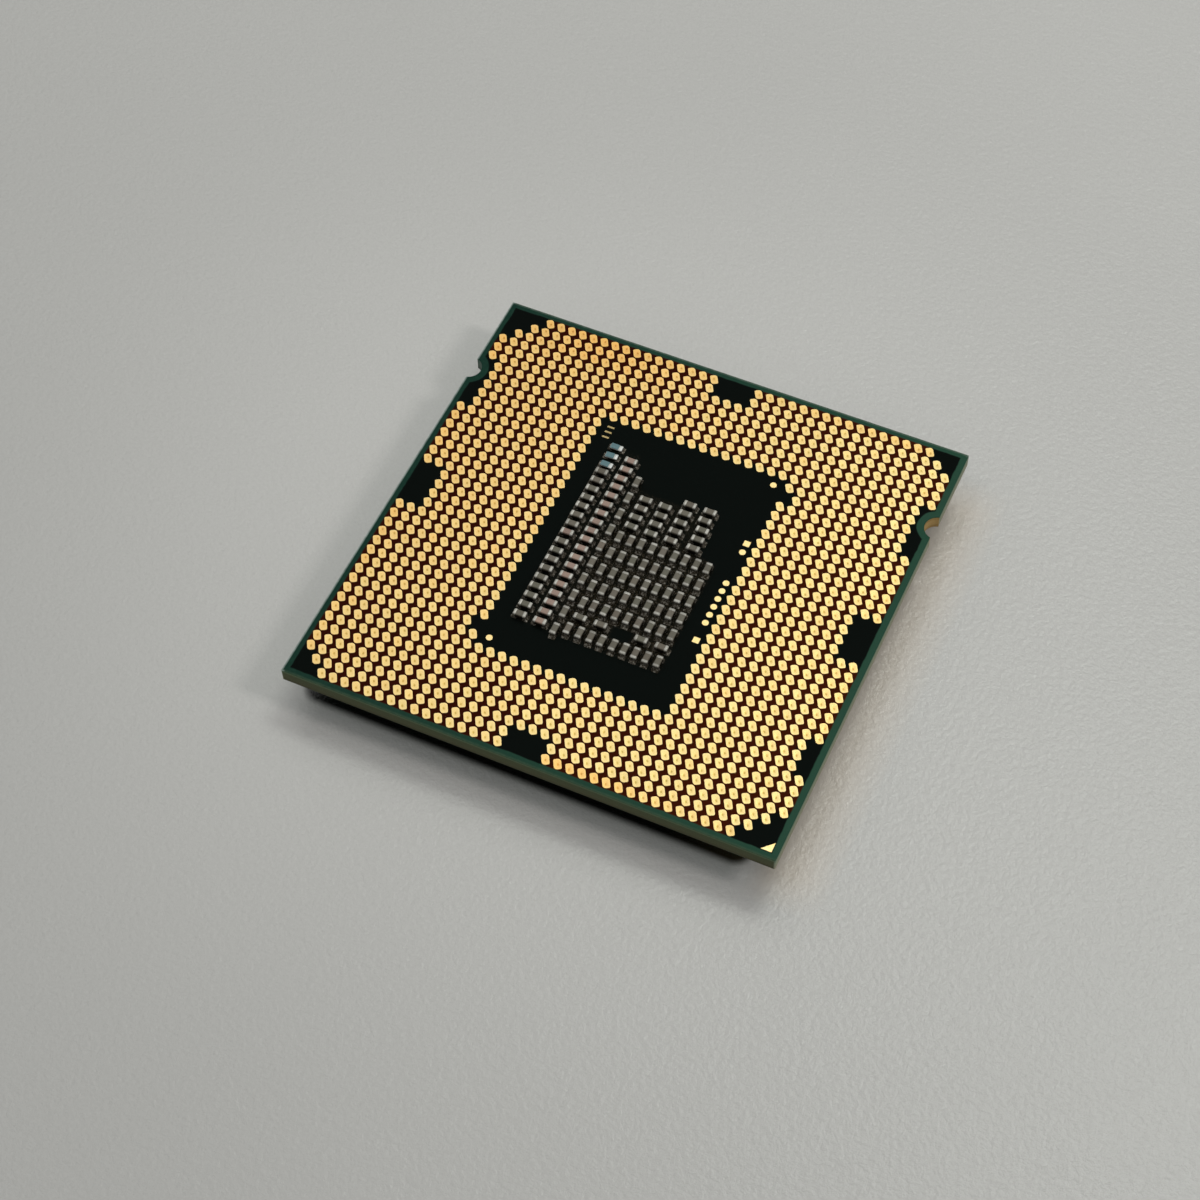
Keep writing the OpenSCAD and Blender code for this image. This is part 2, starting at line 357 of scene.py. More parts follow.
# ------------------------------------------------------------------ materials
def gold_land():
    """Plated land: a pale rim, painted as an edge highlight, round a deeper middle; each land has its own tint and
    painted shade.
    """
    m = Mat("gold_land", metal=1.0, rough=0.3)
    tint, light, zone = m.attr("land")[0:3]
    grain = m.noise(34.0, 4.0, 0.6)
    cloud = m.noise(2.2, 2.0, 0.5)
    # the pale rim colour is a painted edge highlight
    rim = m.mix(tint, (0.985, 0.766, 0.358), (1.0, 0.608, 0.192))
    mid = m.mix(tint, (0.71, 0.495, 0.135), (0.82, 0.360, 0.078))
    col = m.mix(zone, rim, mid)
    col = m.mix(m.span(cloud, 0.4, 0.7, 0.0, 0.14), col, (0.92, 0.60, 0.21))
    # painted shade: each land's colour is darkened by its light value
    dark = m.span(light, -1.0, 1.0, 0.48, 1.0)
    shade = m.nt.nodes.new("ShaderNodeCombineColor")
    for s in shade.inputs:
        m.put(s, dark)
    col = m.mix(1.0, col, shade.outputs[0], "MULTIPLY")
    m.set("Base Color", col)
    m.set("Roughness", m.span(grain, 0.3, 0.7, 0.25, 0.33))
    m.set("Normal", m.bump(grain, 0.001, 0.3))
    return m


def gold_mark(name="gold_mark", pale=(1.0, 0.80, 0.40), deep=(0.97, 0.70, 0.29)):
    m = Mat(name, metal=1.0, rough=0.4)
    cloud = m.noise(3.0, 3.0, 0.55)
    grain = m.noise(40.0, 3.0, 0.6)
    m.set("Base Color", m.ramp(cloud, [(0.3, pale), (0.7, deep)]))
    m.set("Roughness", m.span(grain, 0.3, 0.7, 0.34, 0.46))
    m.set("Normal", m.bump(grain, 0.003, 0.5))
    return m


def board_top():
    """Solder mask over the land side: a green rim, and a dark field inside it."""
    m = Mat("board_top", rough=0.5)
    x, y, z = m.xyz()
    ax, ay = m.math("ABSOLUTE", x), m.math("ABSOLUTE", y)
    edge = m.math("SUBTRACT", BOARD_W / 2, m.math("MAXIMUM", ax, ay))
    dx = m.math("SUBTRACT", ax, NOTCH_X)
    dy = m.math("SUBTRACT", y, NOTCH_Y)
    r = m.math("SQRT", m.math("ADD", m.math("MULTIPLY", dx, dx), m.math("MULTIPLY", dy, dy)))
    near = m.math("MINIMUM", edge, m.math("SUBTRACT", r, NOTCH_R + 0.08))
    wob = m.noise(1.3, 2.0)
    near = m.math("ADD", near, m.span(wob, 0.3, 0.7, -0.03, 0.03))
    rim = m.span(near, 0.43, 0.51, 1.0, 0.0)
    lands = m.attr("cover")[0]
    mottle = m.noise(3.4, 5.0, 0.6)
    fine = m.noise(22.0, 3.0, 0.6)
    # painted reflection: a maroon cast of the gold lands on the mask between them, stronger to the right
    painted_gold_bounce = m.mix(m.span(x, -6.0, 15.0), (0.035, 0.0038, 0.0005), (0.055, 0.0078, 0.0008))
    field = m.mix(m.span(lands, 0.78, 1.0), (0.0026, 0.0044, 0.0036), painted_gold_bounce)
    field = m.mix(m.span(mottle, 0.5, 0.85, 0.0, 0.3), field, (0.0052, 0.0066, 0.0054))
    # dried flux between the chips
    px = m.math("SUBTRACT", 5.66, m.math("ABSOLUTE", m.math("SUBTRACT", x, -0.05)))
    top = m.math("SUBTRACT", m.math("ADD", m.span(x, -3.4, -3.0, 2.2, 0.0), m.span(x, -2.4, -2.0, 6.8, 5.9)), y)
    bank = m.math("MULTIPLY", m.span(px, -0.1, 0.5), m.math("MULTIPLY", m.span(top, -0.1, 0.4), m.span(y, -8.3, -7.8)))
    right = m.math("SUBTRACT", m.span(y, 1.7, 2.3, 6.0, 4.0), x)
    gx, gy = m.math("SUBTRACT", x, 1.84), m.math("ADD", y, 6.38)
    gap = m.math("MAXIMUM", m.math("ABSOLUTE", gx), m.math("MULTIPLY", m.math("ABSOLUTE", gy), 1.5))
    bank = m.math("MULTIPLY", bank, m.math("MULTIPLY", m.span(right, -0.1, 0.4), m.span(gap, 0.65, 1.0)))
    thick = m.math("MULTIPLY", m.span(x, -3.3, -2.3, 0.35, 1.0), m.span(y, 1.6, 2.6, 1.0, 0.5))
    bank = m.math("MULTIPLY", bank, thick)
    flux = m.noise(6.5, 4.0, 0.65)
    bead = m.noise(11.0, 3.0, 0.6)
    field = m.mix(m.math("MULTIPLY", bank, m.span(flux, 0.40, 0.60, 0.0, 0.9)), field, (0.0155, 0.0108, 0.0042))
    field = m.mix(m.math("MULTIPLY", bank, m.span(bead, 0.57, 0.67, 0.0, 0.8)), field, (0.125, 0.105, 0.078))
    # painted light: the green rim is lighter towards the right and darker towards the left
    green = m.mix(m.span(x, -19.0, 19.0), (0.0026, 0.032, 0.0205), (0.0155, 0.068, 0.040))
    green = m.mix(m.span(mottle, 0.4, 0.75, 0.0, 0.3), green, (0.020, 0.075, 0.045))
    # a pale line painted along the front and back edges as an edge highlight, palest at the back
    painted_edge_highlight = m.math("MULTIPLY", m.span(edge, 0.0, 0.22, 1.0, 0.0), m.span(m.math("ABSOLUTE", y), BOARD_W / 2 - 0.3, BOARD_W / 2 - 0.15))
    green = m.mix(m.math("MULTIPLY", painted_edge_highlight, m.span(mottle, 0.3, 0.7, 0.45, 0.95)), green, m.mix(m.span(y, -1.0, 1.0), (0.060, 0.100, 0.058), (0.150, 0.200, 0.160)))
    # a fine pale line painted along the left edge as an edge highlight
    pale = m.math("MULTIPLY", m.span(edge, 0.07, 0.14, 1.0, 0.0), m.span(x, -BOARD_W / 2 + 0.15, -BOARD_W / 2 + 0.3, 1.0, 0.0))
    green = m.mix(m.math("MULTIPLY", pale, m.span(mottle, 0.3, 0.7, 0.5, 0.95)), green, (0.36, 0.44, 0.41))
    m.set("Base Color", m.mix(rim, field, green))
    m.set("Specular IOR Level", m.span(rim, 0.0, 1.0, 0.022, 0.11))
    m.set("Roughness", m.span(fine, 0.3, 0.7, 0.42, 0.58))
    m.set("Normal", m.bump(m.math("ADD", m.math("MULTIPLY", mottle, 0.7), m.math("MULTIPLY", fine, 0.3)), 0.006, 0.5))
    return m


def board_edge():
    """Routed edge: mask at the faces, built-up layers, a glass-cloth core, and bare tan or grey in the notches."""
    m = Mat("board_edge", rough=0.75, spec=0.2)
    x, y, z = m.xyz()
    ax = m.math("ABSOLUTE", x)
    along = m.noise(1.0, 4.0, 0.6, m.stretch(0.9, 0.9, 6.0))
    fibre = m.noise(1.0, 4.0, 0.7, m.stretch(5.0, 5.0, 26.0))
    lift = m.math("ADD", z, m.span(fibre, 0.3, 0.7, -0.02, 0.02))
    h = m.span(lift, Z_BOARD, Z_TOP, 0.0, 1.0)
    # painted shade: the front and back walls take this darker, shaded copy of the layers
    front = m.ramp(h, [
        (0.0, (0.010, 0.045, 0.027)), (0.04, (0.062, 0.064, 0.032)),
        (0.20, (0.098, 0.094, 0.047)), (0.24, (0.076, 0.078, 0.039)),
        (0.28, (0.094, 0.101, 0.051)), (0.72, (0.090, 0.105, 0.053)),
        (0.76, (0.082, 0.103, 0.053)), (0.86, (0.106, 0.145, 0.080)),
        (0.96, (0.125, 0.185, 0.098)), (1.0, (0.075, 0.125, 0.070)),
    ])
    # painted light: the left and right walls take this lighter, lit copy of the layers
    side = m.ramp(h, [
        (0.0, (0.012, 0.060, 0.036)), (0.04, (0.33, 0.305, 0.21)),
        (0.20, (0.37, 0.365, 0.255)), (0.24, (0.295, 0.30, 0.21)),
        (0.28, (0.325, 0.34, 0.24)), (0.72, (0.265, 0.31, 0.222)),
        (0.76, (0.205, 0.255, 0.180)), (0.88, (0.175, 0.24, 0.168)),
        (0.95, (0.145, 0.21, 0.145)), (1.0, (0.032, 0.092, 0.057)),
    ])
    col = m.mix(m.span(ax, BOARD_W / 2 - 0.12, BOARD_W / 2 - 0.06), front, side)
    dx = m.math("SUBTRACT", ax, NOTCH_X)
    dy = m.math("SUBTRACT", y, NOTCH_Y)
    r = m.math("SQRT", m.math("ADD", m.math("MULTIPLY", dx, dx), m.math("MULTIPLY", dy, dy)))
    bare = m.ramp(h, [
        (0.0, (0.012, 0.060, 0.036)), (0.05, (0.42, 0.27, 0.10)),
        (0.24, (0.40, 0.26, 0.095)), (0.28, (0.50, 0.335, 0.13)),
        (0.74, (0.50, 0.335, 0.13)), (0.78, (0.40, 0.26, 0.095)),
        (0.95, (0.40, 0.26, 0.095)), (1.0, (0.020, 0.080, 0.050)),
    ])
    grey = m.ramp(h, [
        (0.0, (0.012, 0.060, 0.036)), (0.05, (0.10, 0.135, 0.115)), (0.5, (0.14, 0.195, 0.165)),
        (0.95, (0.09, 0.160, 0.130)), (1.0, (0.020, 0.080, 0.050)),
    ])
    bare = m.mix(m.span(x, -1.0, 1.0), grey, bare)
    col = m.mix(m.span(r, NOTCH_R + 0.03, NOTCH_R + 0.09, 1.0, 0.0), col, bare)
    col = m.mix(m.span(along, 0.56, 0.80, 0.0, 0.4), col, (0.165, 0.130, 0.066))
    col = m.mix(m.span(fibre, 0.55, 0.8, 0.0, 0.35), col, (0.22, 0.20, 0.13))
    m.set("Base Color", col)
    m.set("Normal", m.bump(fibre, 0.03, 0.7))
    m.set("Roughness", m.span(fibre, 0.3, 0.7, 0.62, 0.85))
    return m


def board_under():
    """Solder mask on the lid side, with fine traces that show faintly through it."""
    m = Mat("board_under", rough=0.4, spec=0.4)
    mottle = m.noise(2.0, 4.0, 0.6)
    fine = m.noise(24.0, 3.0, 0.6)
    zone = m.cells(0.42, "F1", "Color")
    pick = m.xyz(zone)[0]
    def lines(turn):
        n = m.nt.nodes.new("ShaderNodeTexWave")
        n.wave_type = "BANDS"
        n.bands_direction = "X"
        m.put(n.inputs["Vector"], m.stretch(1, 1, 1, turn))
        n.inputs["Scale"].default_value = 1.15
        n.inputs["Distortion"].default_value = 0.0
        return n.outputs["Fac"]
    a, b = lines(0), lines(45)
    both = m.math("ADD", m.math("MULTIPLY", a, m.span(pick, 0.45, 0.5, 1, 0)),
                  m.math("MULTIPLY", b, m.span(pick, 0.45, 0.5, 0, 1)))
    trace = m.span(both, 0.6, 0.8, 0.0, 1.0)
    col = m.ramp(mottle, [(0.3, (0.006, 0.046, 0.030)), (0.7, (0.009, 0.062, 0.042))])
    col = m.mix(m.math("MULTIPLY", trace, 0.5), col, (0.020, 0.095, 0.055))
    m.set("Base Color", col)
    m.set("Roughness", m.span(fine, 0.3, 0.7, 0.34, 0.46))
    m.set("Normal", m.bump(m.math("ADD", m.math("MULTIPLY", trace, 0.8), m.math("MULTIPLY", fine, 0.2)), 0.012, 0.6))
    return m


def nickel(name="nickel_lid"):
    m = Mat(name, metal=1.0, rough=0.36)
    cloud = m.noise(0.35, 4.0, 0.55)
    grain = m.noise(18.0, 4.0, 0.65)
    brush = m.noise(1.0, 5.0, 0.7, m.stretch(0.6, 30.0, 4.0))
    spots = m.noise(2.6, 3.0, 0.7)
    col = m.ramp(cloud, [(0.3, (0.56, 0.54, 0.49)), (0.7, (0.66, 0.64, 0.60))])
    col = m.mix(m.span(spots, 0.62, 0.78, 0.0, 0.35), col, (0.42, 0.40, 0.35))
    m.set("Base Color", col)
    m.set("Roughness", m.math("ADD", m.span(grain, 0.3, 0.7, 0.28, 0.42), m.span(brush, 0.4, 0.7, 0.0, 0.08)))
    m.set("Normal", m.bump(m.math("ADD", m.math("MULTIPLY", grain, 0.6), m.math("MULTIPLY", brush, 0.4)), 0.012, 0.45))
    return m


def soft_metal(name, a, b, rough=0.38, scale=8.0, depth=0.01):
    m = Mat(name, metal=1.0, rough=rough)
    cloud = m.noise(scale, 4.0, 0.6)
    grain = m.noise(scale * 5, 3.0, 0.6)
    m.set("Base Color", m.ramp(cloud, [(0.3, a), (0.7, b)]))
    m.set("Roughness", m.span(grain, 0.3, 0.7, rough - 0.08, rough + 0.08))
    m.set("Normal", m.bump(grain, depth, 0.6))
    return m


def ceramic(name, low, high, rough=0.55, speck=(0.05, 0.045, 0.04), top=0.53, olive=(0.145, 0.145, 0.108)):
    """Sintered block; each block's own tone comes from its attribute, and its sides are painted dark towards its foot
    as shade.
    """
    m = Mat(name, rough=rough, spec=0.3)
    tone, warm, hue = m.attr("chip")[0:3]
    grain = m.noise(26.0, 4.0, 0.65)
    col = m.mix(tone, low, high)
    col = m.mix(m.math("MULTIPLY", hue, 0.6), col, olive)
    col = m.mix(m.math("MULTIPLY", warm, 0.75), col, (0.36, 0.235, 0.20))
    col = m.mix(m.span(grain, 0.5, 0.85, 0.0, 0.5), col, speck)
    z = m.math("SUBTRACT", m.xyz()[2], Z_TOP)
    # painted shade: the block darkens from just under its top down to near black at six tenths of its height
    col = m.mix(m.span(z, top * 0.60, top - 0.02, 0.0, 1.0, True), (0.012, 0.009, 0.006), col)
    m.set("Base Color", col)
    m.set("Specular IOR Level", m.span(z, top * 0.5, top - 0.03, 0.05, 0.3))
    m.set("Roughness", m.span(grain, 0.3, 0.7, rough - 0.1, rough + 0.1))
    m.set("Normal", m.bump(grain, 0.006, 0.6))
    return m


def tin_end(name="tin_end", dull=(0.28, 0.268, 0.24), bright=(0.63, 0.615, 0.57), top=0.55):
    """Plated chip end: its tone runs from dull to bright, greyer in its grain, and painted shade darkens it towards its
    foot.
    """
    m = Mat(name, metal=0.55, rough=0.5, spec=0.4)
    tone = m.attr("chip")[0]
    grain = m.noise(24.0, 4.0, 0.65)
    foot_shade_noise = m.noise(7.0, 4.0, 0.7)
    col = m.mix(tone, dull, bright)
    col = m.mix(m.span(grain, 0.5, 0.8, 0.0, 0.5), col, (0.30, 0.285, 0.255))
    # painted shade: below its top the end darkens towards its foot, the edge and depth of the shade varied by noise
    z = m.math("ADD", m.math("SUBTRACT", m.xyz()[2], Z_TOP), m.span(foot_shade_noise, 0.3, 0.7, -0.10 * top, 0.10 * top))
    low = m.mix(m.span(foot_shade_noise, 0.44, 0.66), (0.022, 0.018, 0.012), (0.17, 0.152, 0.122))
    col = m.mix(m.span(z, top * 0.58, top * 0.93, 0.0, 1.0, True), low, col)
    m.set("Base Color", col)
    m.set("Roughness", m.span(grain, 0.3, 0.7, 0.42, 0.62))
    m.set("Normal", m.bump(grain, 0.008, 0.6))
    return m


def solder():
    """Lumpy joint, part bright and part under brown flux."""
    m = Mat("solder_joint", metal=0.6, rough=0.45, spec=0.4)
    lump = m.noise(7.5, 4.0, 0.68)
    grain = m.noise(26.0, 3.0, 0.6)
    m.set("Base Color", m.ramp(lump, [(0.36, (0.018, 0.013, 0.007)), (0.47, (0.075, 0.062, 0.044)),
                                      (0.55, (0.220, 0.200, 0.168)), (0.66, (0.520, 0.500, 0.450))]))
    m.set("Roughness", m.span(grain, 0.3, 0.7, 0.34, 0.55))
    m.set("Normal", m.bump(m.math("ADD", m.math("MULTIPLY", lump, 0.75), m.math("MULTIPLY", grain, 0.25)), 0.05, 0.7))
    return m


def blue_coat():
    m = Mat("blue_coat", rough=0.35, spec=0.4)
    grain = m.noise(20.0, 4.0, 0.6)
    m.set("Base Color", m.ramp(grain, [(0.3, (0.098, 0.198, 0.226)), (0.7, (0.120, 0.230, 0.256))]))
    m.set("Roughness", m.span(grain, 0.3, 0.7, 0.28, 0.42))
    m.set("Normal", m.bump(grain, 0.006, 0.6))
    return m


def resin(name, a, b, rough):
    m = Mat(name, rough=rough, spec=0.35)
    grain = m.noise(9.0, 4.0, 0.6)
    m.set("Base Color", m.ramp(grain, [(0.3, a), (0.7, b)]))
    m.set("Roughness", m.span(grain, 0.3, 0.7, rough - 0.08, rough + 0.08))
    m.set("Normal", m.bump(grain, 0.02, 0.6))
    return m


GOLD, MARK = gold_land(), gold_mark()
DULL = gold_mark("dull_gold", (0.50, 0.39, 0.19), (0.40, 0.30, 0.13))
TOP, SIDE, UNDER = board_top(), board_edge(), board_under()
NICKEL = nickel()
TIN = tin_end()
TIN_LOW = tin_end("bright_end", (0.60, 0.615, 0.605), (0.80, 0.82, 0.81), 0.28)
JOINT = solder()
GREY = ceramic("grey_ceramic", (0.130, 0.115, 0.090), (0.180, 0.165, 0.135), speck=(0.04, 0.036, 0.03))
ROSE = ceramic("tan_ceramic", (0.335, 0.235, 0.195), (0.425, 0.305, 0.255), speck=(0.19, 0.13, 0.105), olive=(0.40, 0.285, 0.225))
WHITE = ceramic("white_ceramic", (0.66, 0.66, 0.63), (0.76, 0.76, 0.73), speck=(0.5, 0.5, 0.47), top=0.26, olive=(0.70, 0.70, 0.66))
BLUE = blue_coat()


# ------------------------------------------------------------------ board
def board_outline():
    h = BOARD_W / 2
    half = math.degrees(math.acos((NOTCH_X - h) / NOTCH_R))
    right = arc(NOTCH_X, NOTCH_Y, NOTCH_R, 180 + half, 180 - half, 22)
    left = arc(-NOTCH_X, NOTCH_Y, NOTCH_R, half, -half, 22)
    return ([(h, -h + NIP)] + right + [(h, h - NIP), (h - NIP, h), (-h + NIP, h), (-h, h - NIP)]
            + left + [(-h, -h + NIP), (-h + NIP, -h), (h - NIP, -h)])


def build_board():
    b = Builder()
    line = board_outline()
    levels = [(Z_BOARD, 0.035), (Z_BOARD + 0.012, 0.010), (Z_BOARD + 0.04, 0.0),
              (Z_TOP - 0.04, 0.0), (Z_TOP - 0.012, 0.010), (Z_TOP, 0.035)]
    rings = [b.ring(inset(line, d) if d else line, z) for z, d in levels]
    for k, mat in enumerate((2, 2, 1, 0, 0)):
        b.band(rings[k], rings[k + 1], mat)
    b.cap(rings[0], 2, flip=True)
    b.cap(rings[-1], 0)
    me = b.mesh("board", [TOP, SIDE, UNDER])
    bm = bmesh.new()
    bm.from_mesh(me)
    cut = [f for f in bm.faces if f.normal.z > 0.99 and len(f.verts) > 8]
    for axis in (0, 1):
        for k in range(N + 1):
            at = (k - N / 2) * PITCH * MM
            faces = [f for f in bm.faces if f.material_index == 0 and f.normal.z > 0.99]
            geom = faces + list({e for f in faces for e in f.edges}) + list({v for f in faces for v in f.verts})
            co, no = [0, 0, 0], [0, 0, 0]
            co[axis], no[axis] = at, 1
            bmesh.ops.bisect_plane(bm, geom=geom, dist=1e-8, plane_co=co, plane_no=no)
    bm.normal_update()
    bm.to_mesh(me)
    bm.free()
    a = me.color_attributes.new("cover", "FLOAT_COLOR", "POINT")
    flat = []
    for v in me.vertices:
        i, j = v.co.x / MM / PITCH + N / 2, N / 2 - v.co.y / MM / PITCH
        near = [(math.floor(i + s), math.floor(j + t)) for s in (-0.4, 0.4) for t in (-0.4, 0.4)]
        c = sum(has_land(min(max(p, 0), N - 1), min(max(q, 0), N - 1)) for p, q in near) / 4
        flat += [c, c, c, 1]
    a.data.foreach_set("color", flat)
    finish_mesh(me, 40)
    return piece("board", me, "laminate", "substrate")


build_board()


# ------------------------------------------------------------------ lands
def land_outline(l, w, sharp, soft, lean):
    """A slim pad that leans a little: two opposite corners are nearly square, the two that face its neighbours are round."""
    x, y = l / 2, w / 2
    pts = (arc(x - sharp, y - sharp, sharp, 0, 90, 2) + arc(-x + soft, y - soft, soft, 90, 180, 4)
           + arc(-x + sharp, -y + sharp, sharp, 180, 270, 2) + arc(x - soft, -y + soft, soft, 270, 360, 4))
    return [(p - lean * q, q) for p, q in pts]


def build_lands():
    rng = random.Random(41)
    b = Builder()
    def outline(d):
        return turned(land_outline(LAND_L - 2 * d, 0.575 - 2 * d, 0.10 - 0.4 * d, 0.275 - d, 0.05), LAND_TURN - 1.0)
    full, step, border = outline(0.0), outline(0.018), outline(0.085)
    for j in range(N):
        for i in range(N):
            if not has_land(i, j):
                continue
            x, y = (i - (N - 1) / 2) * PITCH, ((N - 1) / 2 - j) * PITCH
            # redder towards the far left corner and along the outermost rows, paler at the near right corner
            tint = 0.17 - 0.0145 * min(x, 6.0) + 0.010 * max(0.0, x - 6.0) + rng.gauss(0, 0.055)
            tint += 0.007 * y + 0.0003 * max(0.0, -x) * y - 0.0010 * max(0.0, x) * max(0.0, y)
            if j < 3:
                tint += 0.34 * math.exp(-((i - 9) / 5.0) ** 2)
            if i == 0 or j == 0 or (i == N - 1 and y > -9.0):
                tint += 0.17
            if j == 0:
                tint += 0.018 * max(0.0, x)
            if j == N - 1 and i > 19:
                tint += 0.20 + 0.62 * math.exp(-((i - 24) / 5.0) ** 2)
            if rng.random() < 0.03:
                tint += rng.uniform(0.1, 0.25)
            tint = min(max(tint, 0.0), 1.0)
            # painted shade: lands are darker towards the left and the near right corner, and along the back row, with a
            # random spread
            light = min(max(0.86 - 0.0011 * max(0.0, x) * max(0.0, 8.0 - y) - 0.010 * max(0.0, -x) + rng.gauss(0, 0.07), 0.0), 1.0)
            if j == 0:
                light -= 0.10
            # a shallow probe mark, nearer to one end of the pad on two sides of the field
            side = min(max((x - y) / 12, -1.0), 1.0)
            mu, mv = 0.02 + 0.042 * side + rng.gauss(0, 0.045), 0.02 - 0.032 * side + rng.gauss(0, 0.022)
            mu, mv = min(max(mu, -0.14), 0.16), min(max(mv, -0.07), 0.075)
            (mx, my), = turned([(mu, mv)], LAND_TURN)
            lie = rng.gauss(0, 8)
            def ring_of(l, w):
                pts = turned([(l * math.cos(a), w * math.sin(a)) for a in (2 * math.pi * (k + 0.5) / 16 for k in range(16))], LAND_TURN + lie, mx, my)
                # the mark's points start where the pad's outline does
                return sorted(pts, key=lambda p: (math.atan2(p[1] - my, p[0] - mx) - math.radians(LAND_TURN)) % (2 * math.pi))
            deep = rng.uniform(0.30, 0.82) + (0.16 if abs(x) > 9.0 else 0.0)
            at = lambda pts: [(x + p, y + q) for p, q in pts]
            z = Z_TOP
            # painted shade: the pad's side darkens towards its foot, and turns redder there
            r0 = b.ring(at(full), z, (min(tint + 0.45, 1.0), -0.8, 0.5))
            r1 = b.ring(at(step), z + LAND_T, (tint, light, 0.0))
            r2 = b.ring(at(border), z + LAND_T, (tint, light, 0.18))
            r3 = b.ring(at(ring_of(0.125, 0.080)), z + LAND_T - 0.0005, (tint, light, 0.48))
            r4 = b.ring(at(ring_of(0.088, 0.054)), z + LAND_T - 0.003, (tint, light - 0.70 * deep, 1.0))
            c = b.point(x + mx, y + my, z + LAND_T - 0.005, (tint, light - 1.1 * deep, 1.0))
            b.cap(r0, flip=True)
            b.band(r0, r1)
            b.band(r1, r2)
            b.band(r2, r3)
            b.band(r3, r4)
            b.fan(r4, c)
    return piece("land_field", b.mesh("land_field", [GOLD], 22, "land"), "gold", "contact_lands")


build_lands()


def plate(b, pts, z, t, edge=0.012):
    """A thin plate with a broken upper edge."""
    r0 = b.ring(pts, z)
    r1 = b.ring(pts, z + t - edge * 0.7)
    r2 = b.ring(inset(pts, edge), z + t)
    b.cap(r0, flip=True)
    b.band(r0, r1)
    b.band(r1, r2)
    b.cap(r2)


def build_marks():
    b = Builder()
    for y in [3.78] + [0.78 - k * 0.75 for k in range(6)]:
        plate(b, arc(6.87, y, 0.25, 0, 345, 23), Z_TOP, MARK_T)
    for y in (4.6, -4.6):
        plate(b, [(6.87 + p, y + q) for p, q in rounded(0.5, 0.5, 0.05, 3)], Z_TOP, MARK_T)
    for s in (-1, 1):
        plate(b, arc(s * 6.58, s * 10.33, 0.25, 0, 345, 23), Z_TOP, MARK_T)
    piece("test_pads", b.mesh("test_pads", [MARK], 20), "gold", "test_points")
    b = Builder()
    plate(b, [(EDGE, -EDGE), (EDGE, -EDGE + 0.8), (EDGE - 0.8, -EDGE)], Z_TOP, MARK_T)
    piece("corner_mark", b.mesh("corner_mark", [MARK], 20), "gold", "first_land_mark")
    b = Builder()
    for k in (-1, 0, 1):
        plate(b, [(-6.6 + p, 9.95 + 0.5 * k + q) for p, q in rounded(0.56, 0.16, 0.03, 3)], Z_TOP, MARK_T)
    piece("index_marks", b.mesh("index_marks", [DULL], 20), "gold", "index_bars")
    b = Builder()
    tri = [(EDGE, -EDGE), (EDGE, -EDGE + 0.8), (EDGE - 0.8, -EDGE)]
    r0 = b.ring(inset(tri, 0.012), Z_BOARD - MARK_T)
    r1 = b.ring(tri, Z_BOARD - MARK_T * 0.5)
    r2 = b.ring(tri, Z_BOARD)
    b.cap(r0, flip=True)
    b.band(r0, r1)
    b.band(r1, r2)
    b.cap(r2)
    piece("lid_side_corner_mark", b.mesh("lid_side_corner_mark", [MARK], 20), "gold", "lid_side_mark")


build_marks()


# ------------------------------------------------------------------ lid
def lid_outline():
    quarter = ([(17.0, 0.0)] + arc(16.2, 9.7, 0.8, 0, 90, 6) + arc(15.9, 10.9, 0.4, 270, 180, 5)
               + arc(14.3, 14.5, 1.2, 0, 90, 8))
    up = quarter + [(-x, y) for x, y in reversed(quarter)]
    return up + [(-x, -y) for x, y in up[1:-1]]


def dense(pts, step):
    """The same outline with long straight runs split up."""
    out = []
    for (x0, y0), (x1, y1) in zip(pts, pts[1:] + pts[:1]):
        n = max(1, math.ceil(math.hypot(x1 - x0, y1 - y0) / step))
        out += [(x0 + (x1 - x0) * k / n, y0 + (y1 - y0) * k / n) for k in range(n)]
    return out


def build_lid():
    b = Builder()
    line = dense(lid_outline(), 0.5)
    flange = [(LID_STEP, 0.16), (LID_STEP + 0.03, 0.07), (LID_STEP + 0.12, 0.0),
              (LID_H - 0.12, 0.0), (LID_H - 0.03, 0.04), (LID_H, 0.12)]
    f = [b.ring(inset(line, d) if d else line, z) for z, d in flange]
    for p, q in zip(f, f[1:]):
        b.band(p, q)
    top = dense(rounded(28.2, 29.0, 1.4, 8), 0.5)
    plateau = [(0.0, 0.27), (0.05, 0.15), (0.14, 0.06), (0.28, 0.0),
               (LID_STEP - 0.2, 0.0), (LID_STEP - 0.06, -0.05), (LID_STEP, -0.2)]
    t = [b.ring(inset(top, d) if d else top, z) for z, d in plateau]
    for p, q in zip(t, t[1:]):
        b.band(p, q)
    b.cap(t[0], flip=True)
    b.between(f[0], t[-1], flip=True)
    hole = dense(rounded(26.0, 26.0, 2.0, 8), 0.5)
    h = [b.ring(inset(hole, d) if d else hole, z) for z, d in
         [(LID_H, -0.05), (LID_H - 0.05, 0.0), (Z_HOLLOW + 0.15, 0.0), (Z_HOLLOW + 0.04, 0.04), (Z_HOLLOW, 0.15)]]
    for p, q in zip(h, h[1:]):
        b.band(p, q)
    b.between(f[-1], h[0])
    b.cap(h[-1])
    return piece("lid", b.mesh("lid", [NICKEL]), "nickel_plate", "heat_spreader")


build_lid()


# ------------------------------------------------------------------ chips
def section(hy, z0, z1, r):
    """Rounded rectangle across a chip, as points (y, z)."""
    return [(y, z + (z0 + z1) / 2) for y, z in rounded(2 * hy, z1 - z0, r, 3)]


